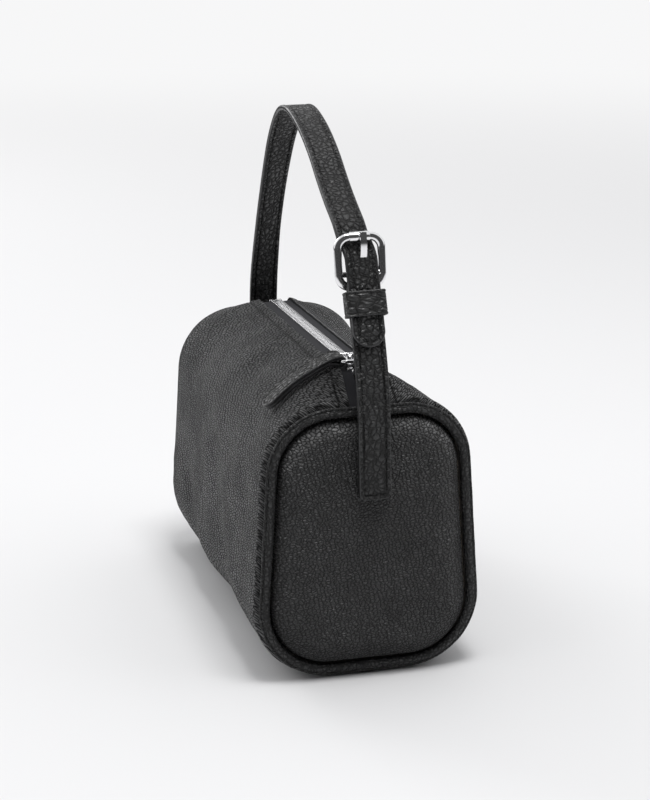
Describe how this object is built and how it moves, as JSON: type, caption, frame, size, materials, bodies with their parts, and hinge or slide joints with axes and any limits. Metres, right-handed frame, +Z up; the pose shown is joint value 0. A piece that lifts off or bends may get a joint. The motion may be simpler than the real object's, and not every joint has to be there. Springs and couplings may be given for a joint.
{
  "type": "bag with shoulder strap",
  "caption": "Small box-shaped leather bag, softly rounded, with piped ends, a top zip with a leather pull and a short buckled shoulder strap.",
  "frame": {"origin": "middle of the base, on the ground", "axes": "+X along the bag towards the buckle end, +Y towards the back, +Z up"},
  "size_m": [0.2193, 0.1078, 0.2499],
  "materials": {
    "body_leather": "pebbled, soft sheen",
    "trim_leather": "pebbled, soft sheen",
    "lining_cloth": "woven",
    "zip_cloth": "woven",
    "silver_metal": "polished",
    "zip_metal": "polished",
    "fibre_board": "matt",
    "foam": "matt",
    "cord": "twisted"
  },
  "bodies": {
    "shell": {"front_panel": "body_leather", "back_panel": "body_leather", "end_panel_right": "body_leather", "end_panel_left": "body_leather", "end_foam_right": "foam", "end_foam_left": "foam", "end_board_right": "fibre_board", "end_board_left": "fibre_board", "piping_right": "trim_leather", "piping_left": "trim_leather", "piping_cord_right": "cord", "piping_cord_left": "cord", "body_lining": "lining_cloth", "end_lining_right": "lining_cloth", "end_lining_left": "lining_cloth", "base_board": "fibre_board", "zip_tape_front": "zip_cloth", "zip_tape_back": "zip_cloth", "zip_teeth_front": "zip_metal", "zip_teeth_back": "zip_metal", "zip_stops": "zip_metal", "strap_tab_right": "trim_leather", "strap_tab_left": "trim_leather", "tab_backing_right": "fibre_board", "tab_backing_left": "fibre_board"},
    "zip_slider": {"zip_slider": "silver_metal"},
    "pull_ring": {"pull_ring": "silver_metal"},
    "pull_tab": {"pull_tab": "trim_leather"},
    "strap": {"buckle_strap": "trim_leather", "long_strap": "trim_leather"},
    "keeper": {"strap_keeper": "trim_leather"},
    "buckle": {"buckle_frame": "silver_metal"},
    "roller": {"buckle_roller": "silver_metal"},
    "prong": {"buckle_prong": "silver_metal"}
  },
  "joints": [
    {"name": "strap_swing", "type": "hinge", "parent": "shell", "child": "strap", "pos_m": [0, 0, 0.119], "axis": [1, 0, 0], "range_deg": [-55, 55]},
    {"name": "zip_slide", "type": "slide", "parent": "shell", "child": "zip_slider", "axis": [0.9996, 0, 0.0276], "range_m": [-0.14, 0], "deforming": ["zip_teeth_front", "zip_teeth_back"]},
    {"name": "pull_ring_swing", "type": "hinge", "parent": "zip_slider", "child": "pull_ring", "pos_m": [0.07285, 0, 0.14536], "axis": [0.9996, 0, 0.0276], "range_deg": [-155, 0]},
    {"name": "pull_tab_swing", "type": "hinge", "parent": "pull_ring", "child": "pull_tab", "pos_m": [0.07285, -0.007, 0.14536], "axis": [0.9996, 0, 0.0276], "range_deg": [-60, 0]},
    {"name": "keeper_slide", "type": "slide", "parent": "strap", "child": "keeper", "axis": [-0.3338, -0.0181, 0.9425], "range_m": [-0.009, 0]},
    {"name": "buckle_tilt", "type": "hinge", "parent": "strap", "child": "buckle", "pos_m": [0.09023, -0.00134, 0.18871], "axis": [0, 0.9998, 0.0192], "range_deg": [0, 5]},
    {"name": "roller_turn", "type": "hinge", "parent": "buckle", "child": "roller", "pos_m": [0.08864, -0.00166, 0.20522], "axis": [0, 0.9998, 0.0192], "continuous": true},
    {"name": "prong_lift", "type": "hinge", "parent": "buckle", "child": "prong", "pos_m": [0.09023, -0.00134, 0.18871], "axis": [0, 0.9998, 0.0192], "range_deg": [0, 8]}
  ]
}
